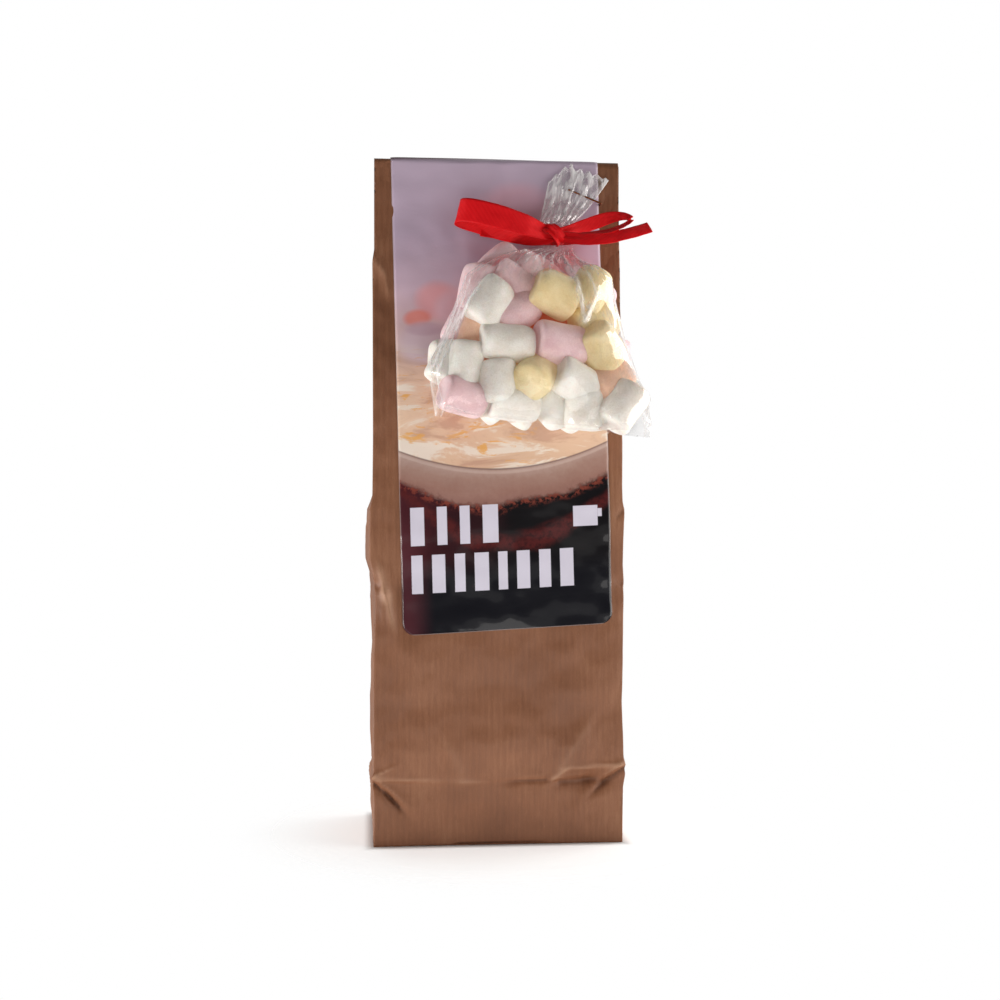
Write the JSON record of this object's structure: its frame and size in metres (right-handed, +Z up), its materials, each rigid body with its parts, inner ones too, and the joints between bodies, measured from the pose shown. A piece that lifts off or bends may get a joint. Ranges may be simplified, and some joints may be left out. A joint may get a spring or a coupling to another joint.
{
  "type": "hot chocolate mix gift pack",
  "caption": "Shut paper bag of hot chocolate mix with a long label over its folded top and a small clear bag of marshmallows tied with ribbon and stapled on.",
  "frame": {"origin": "centre of the bag's flat base, on the surface it stands on", "axes": "+Z up along the bag's height; the label faces -Y; +X to the right of the label, the side the small bag is stapled on"},
  "size_m": [0.0921, 0.0777, 0.2225],
  "materials": {
    "kraft_paper": "ribbed brown kraft paper, matt",
    "label": "glossy printed label",
    "film": "clear crinkled film",
    "ribbon": "satin woven ribbon",
    "staple": "copper-coloured wire",
    "marshmallow": "soft sugar foam dusted with starch"
  },
  "bodies": {
    "root": {"bag": "kraft_paper", "label": "label", "marshmallow_bag": "film", "ribbon": "ribbon", "staple": "staple"}
  },
  "joints": []
}
